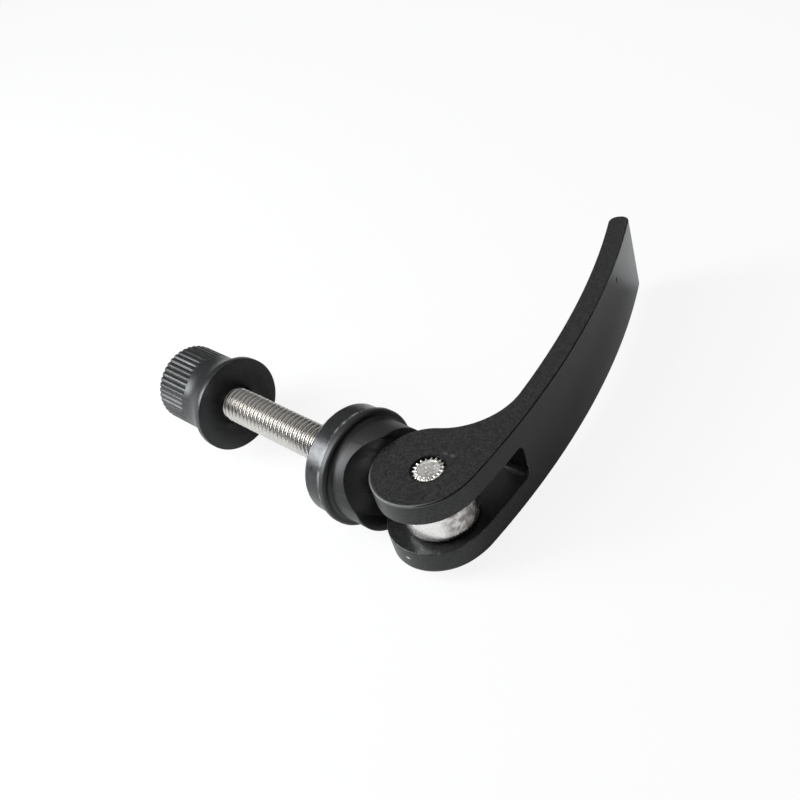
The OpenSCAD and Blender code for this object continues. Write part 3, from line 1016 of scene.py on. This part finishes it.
# %% [markdown]
# ## Floor, world and lamps
# The photograph has a plain white ground. Here the floor is a wide disc that curves up into a low wall, as a
# photographer's cove does. To the camera it glows white, with a little of its real shading left for the
# object's shadow. In mirrors most of the real shading shows, because a real mirror beside an object shows the
# dark floor under it: in the photograph that is what darkens the lever's back below its bright tip.

# %% Make the floor
FLOOR_GAP = 0.02 * MM
FLOOR_Z = min(low[2] for low in (saddle_low, nut_low, lever_low)) - FLOOR_GAP
COVE_FROM = 2.4
COVE_R = 0.5
WALL_TOP = 1.4
floor_profile = path(
    [[0, 0]],
    line((0.05, 0), (COVE_FROM, 0), 6),
    arc((COVE_FROM, COVE_R), COVE_R, -90, 0, 12),
    [[COVE_FROM + COVE_R, WALL_TOP]],
)
floor_angles = around(96)
r, z = floor_profile[:, 0][:, None], FLOOR_Z + floor_profile[:, 1][:, None]
floor_grid = np.stack([r * np.cos(floor_angles), r * np.sin(floor_angles), z + 0 * floor_angles], axis=-1)
floor = mesh_piece("floor", floor_grid, grid_faces(len(floor_profile), len(floor_angles), closed=False))
floor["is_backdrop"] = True
print("floor at", round(FLOOR_Z / MM, 2), "mm")

# %% The floor's look
SHADOW_SHARE = 0.12
MIRROR_SHARE = 0.08


def ray_masks(tree):
    """Two sockets: 1 for rays straight from the camera, and 1 for rays by way of a mirror or glass."""
    rays = tree.nodes.new("ShaderNodeLightPath")
    mirrored = add_math(tree, "MAXIMUM", rays.outputs["Is Glossy Ray"], rays.outputs["Is Transmission Ray"])
    return rays.outputs["Is Camera Ray"], mirrored


floor_look = bpy.data.materials.new("floor_white")
floor_look.use_nodes = True
tree = floor_look.node_tree
shader = tree.nodes["Principled BSDF"]
shader.inputs["Base Color"].default_value = (0.85, 0.85, 0.85, 1)
shader.inputs["Roughness"].default_value = 1.0
shader.inputs["Specular IOR Level"].default_value = 0.0
glow = tree.nodes.new("ShaderNodeEmission")
glow.inputs["Strength"].default_value = 1.0
direct, mirrored = ray_masks(tree)
seen = product(tree, direct, 1 - SHADOW_SHARE)
share = add_math(tree, "MAXIMUM", seen, product(tree, mirrored, MIRROR_SHARE))
mixed = tree.nodes.new("ShaderNodeMixShader")
tree.links.new(share, mixed.inputs["Fac"])
tree.links.new(shader.outputs[0], mixed.inputs[1])
tree.links.new(glow.outputs[0], mixed.inputs[2])
tree.links.new(mixed.outputs[0], tree.nodes["Material Output"].inputs["Surface"])
floor.data.materials.append(floor_look)
print("share of its own shading that the camera sees:", SHADOW_SHARE)

# %% Make the world and the lamps
WORLD_LIGHT = 0.2
SEEN_LIGHT = 0.5
world = bpy.data.worlds.new("studio")
bpy.context.scene.world = world
world.use_nodes = True
tree = world.node_tree
backdrop = tree.nodes["Background"]
backdrop.inputs["Color"].default_value = (1, 1, 1, 1)
seen = add_math(tree, "MAXIMUM", *ray_masks(tree))
strength = add_math(tree, "ADD", product(tree, seen, SEEN_LIGHT - WORLD_LIGHT), WORLD_LIGHT)
tree.links.new(strength, backdrop.inputs["Strength"])


def soft_lamp(name, place, aim, size, power, colour=(1, 1, 1)):
    """A square area lamp at place, turned towards aim. Places and size are in millimetres."""
    data = bpy.data.lights.new(name, "AREA")
    data.size = size * MM
    data.energy = power
    data.color = colour
    lamp = bpy.data.objects.new(name, data)
    bpy.context.scene.collection.objects.link(lamp)
    way = Vector(aim) - Vector(place)
    turn = way.to_track_quat("-Z", "Y").to_matrix().to_4x4()
    lamp.matrix_world = Matrix.Translation(Vector(place) * MM) @ turn
    print("lamp", name, "of", power, "W")


soft_lamp("key", place=(-245, -210, 175), aim=(-10, 0, 0), size=180, power=1.7, colour=(0.93, 0.97, 1.0))
soft_lamp("fill", place=(-80, -160, 300), aim=(0, 10, 0), size=200, power=0.65)
bpy.context.scene.view_settings.view_transform = "Standard"

# %% [markdown]
# ## Sizes
# The finished pieces have to fill the same box as the CAD model. Both boxes are measured, and the largest
# difference between them is printed.

# %% Measure the sizes and finish
visual_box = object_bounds()
sizes = {"cad": [list(map(float, c)) for c in cad_box], "visual": [list(map(float, c)) for c in visual_box]}
largest = np.abs(np.array(sizes["cad"]) - np.array(sizes["visual"])).max()
print("largest difference", round(float(largest) / MM, 3), "mm")
